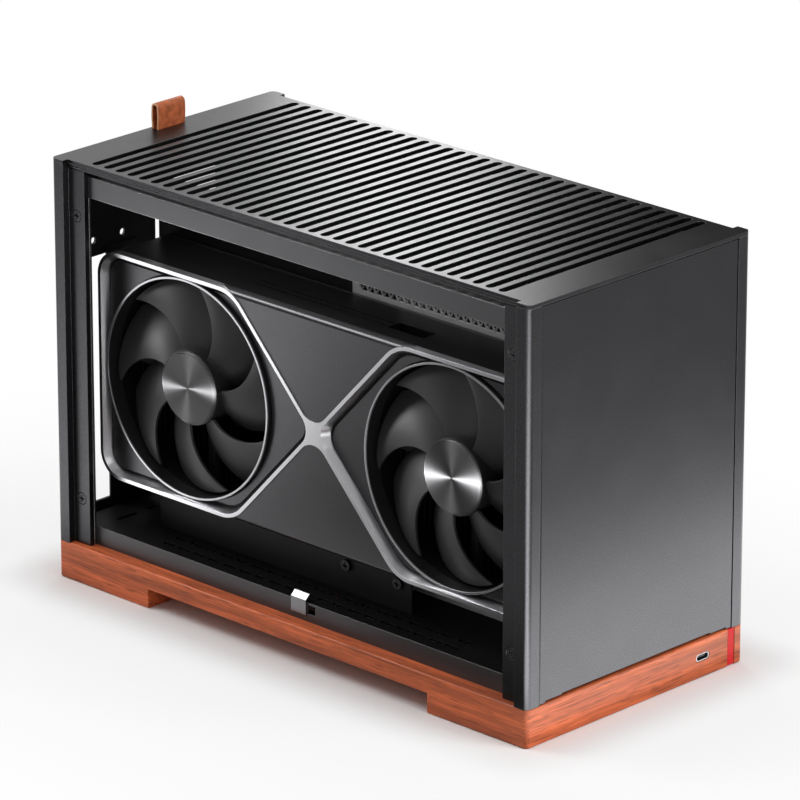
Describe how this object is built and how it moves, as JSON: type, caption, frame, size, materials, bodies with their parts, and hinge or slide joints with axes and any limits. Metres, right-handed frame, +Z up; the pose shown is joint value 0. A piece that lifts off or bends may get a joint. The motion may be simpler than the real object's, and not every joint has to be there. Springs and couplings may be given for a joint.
{
  "type": "mini itx computer case",
  "caption": "Long, low computer case on a wooden plinth, with a slotted top, a leather pull tab and an open side that shows a graphics card with two fans.",
  "frame": {"origin": "middle of the plinth's underside", "axes": "+X towards the plain front panel with the port and key in the plinth below it, +Y towards the closed side panel, +Z up"},
  "size_m": [0.328, 0.157, 0.2385],
  "materials": {
    "oiled_wood": "oiled satin",
    "dark_anodised": "fine blasted dark grey",
    "grey_steel": "satin grey powder coat",
    "black_steel": "satin black powder coat",
    "pale_mesh": "satin light grey",
    "tan_leather": "smooth tan, dark edges",
    "black_screws": "black oxide",
    "bright_steel": "brushed",
    "brass": "turned",
    "rubber": "matt",
    "silver_frame": "satin silver",
    "card_grey": "satin dark grey",
    "card_black": "matt black",
    "spun_metal": "spun in rings",
    "fin_metal": "black coated",
    "board_black": "solder mask",
    "port_metal": "polished",
    "black_plastic": "matt",
    "red_key": "gloss red"
  },
  "bodies": {
    "chassis": {"base_plinth": "oiled_wood", "post_front_right": "dark_anodised", "post_rear_right": "dark_anodised", "post_front_left": "dark_anodised", "post_rear_left": "dark_anodised", "front_panel": "dark_anodised", "left_frame": "grey_steel", "right_frame": "grey_steel", "floor_tray": "grey_steel", "rear_panel": "black_steel", "board_tray": "black_steel", "psu_bracket": "black_steel", "riser_bracket": "black_steel", "vent_screen": "pale_mesh", "post_screws": "black_screws", "base_screws": "black_screws", "rear_screws": "black_screws", "front_screws": "black_screws", "riser_screws": "black_screws", "panel_clips": "bright_steel", "card_bracket": "bright_steel", "standoffs": "brass", "card_contacts": "brass", "foot_pads": "rubber", "card_frame": "silver_frame", "ring_rear": "silver_frame", "ring_front": "silver_frame", "card_plate_upper": "card_grey", "card_plate_lower": "card_grey", "card_bay_plates": "card_grey", "card_backplate": "card_grey", "card_shroud": "card_black", "fan_mount_rear": "card_black", "fan_mount_front": "card_black", "fins_rear": "fin_metal", "fins_front": "fin_metal", "io_board": "board_black", "port_shell": "port_metal", "port_tongue": "black_plastic", "power_switch": "black_plastic", "riser_socket": "black_plastic"},
    "fan_rear": {"rotor_rear": "card_black", "hub_cap_rear": "spun_metal"},
    "fan_front": {"rotor_front": "card_black", "hub_cap_front": "spun_metal"},
    "power_key": {"power_key": "red_key"},
    "top_panel": {"top_panel": "dark_anodised", "top_pins": "bright_steel", "pull_tab": "tan_leather", "tab_pin": "bright_steel"},
    "side_panel": {"side_panel": "dark_anodised", "side_magnets": "bright_steel"}
  },
  "joints": [
    {"name": "fan_rear_spin", "type": "hinge", "parent": "chassis", "child": "fan_rear", "pos_m": [-0.0872, -0.0508, 0.116], "axis": [0, 1, 0], "continuous": true},
    {"name": "fan_front_spin", "type": "hinge", "parent": "chassis", "child": "fan_front", "pos_m": [0.0956, -0.0508, 0.116], "axis": [0, 1, 0], "continuous": true},
    {"name": "power_key_press", "type": "slide", "parent": "chassis", "child": "power_key", "axis": [-1, 0, 0], "range_m": [0, 0.0012], "stiffness_N_per_m": 400, "springref_m": -0.001},
    {"name": "top_panel_lift", "type": "slide", "parent": "chassis", "child": "top_panel", "axis": [0, 0, 1], "range_m": [0, 0.06]},
    {"name": "side_panel_pull", "type": "slide", "parent": "chassis", "child": "side_panel", "axis": [0, 1, 0], "range_m": [0, 0.06]}
  ]
}
